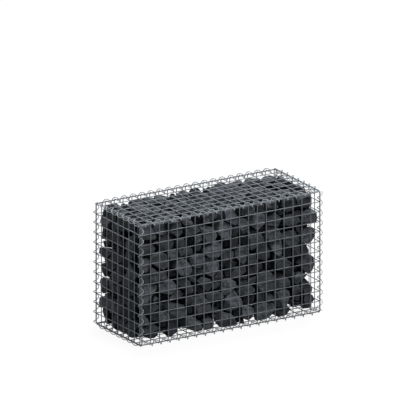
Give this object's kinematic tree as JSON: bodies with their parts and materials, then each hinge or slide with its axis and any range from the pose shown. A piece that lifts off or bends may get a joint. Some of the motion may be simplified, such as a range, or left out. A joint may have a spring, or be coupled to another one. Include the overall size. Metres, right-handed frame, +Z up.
{
  "type": "gabion wall basket",
  "caption": "Box of welded wire mesh panels laced along every edge with spiral wire binders and filled with dark angular stone, a free-standing bay of a gabion wall.",
  "frame": {"origin": "on the ground, under the middle of the basket", "axes": "+X along the length, -Y out of the front mesh, +Z up"},
  "size_m": [1.0344, 0.4344, 0.631],
  "materials": {
    "mesh_wire": "dull galvanised wire",
    "spiral_wire": "bright galvanised wire",
    "stone_fill": "rough broken basalt"
  },
  "bodies": {
    "root": {"base_mesh": "mesh_wire", "front_mesh": "mesh_wire", "back_mesh": "mesh_wire", "left_mesh": "mesh_wire", "right_mesh": "mesh_wire", "lid_mesh": "mesh_wire", "base_front_spiral": "spiral_wire", "base_back_spiral": "spiral_wire", "base_left_spiral": "spiral_wire", "base_right_spiral": "spiral_wire", "front_left_spiral": "spiral_wire", "front_right_spiral": "spiral_wire", "back_left_spiral": "spiral_wire", "back_right_spiral": "spiral_wire", "lid_front_spiral": "spiral_wire", "lid_back_spiral": "spiral_wire", "lid_left_spiral": "spiral_wire", "lid_right_spiral": "spiral_wire", "stone_course_1": "stone_fill", "stone_course_2": "stone_fill", "stone_course_3": "stone_fill", "stone_course_4": "stone_fill", "stone_course_5": "stone_fill", "stone_course_6": "stone_fill"}
  },
  "joints": []
}
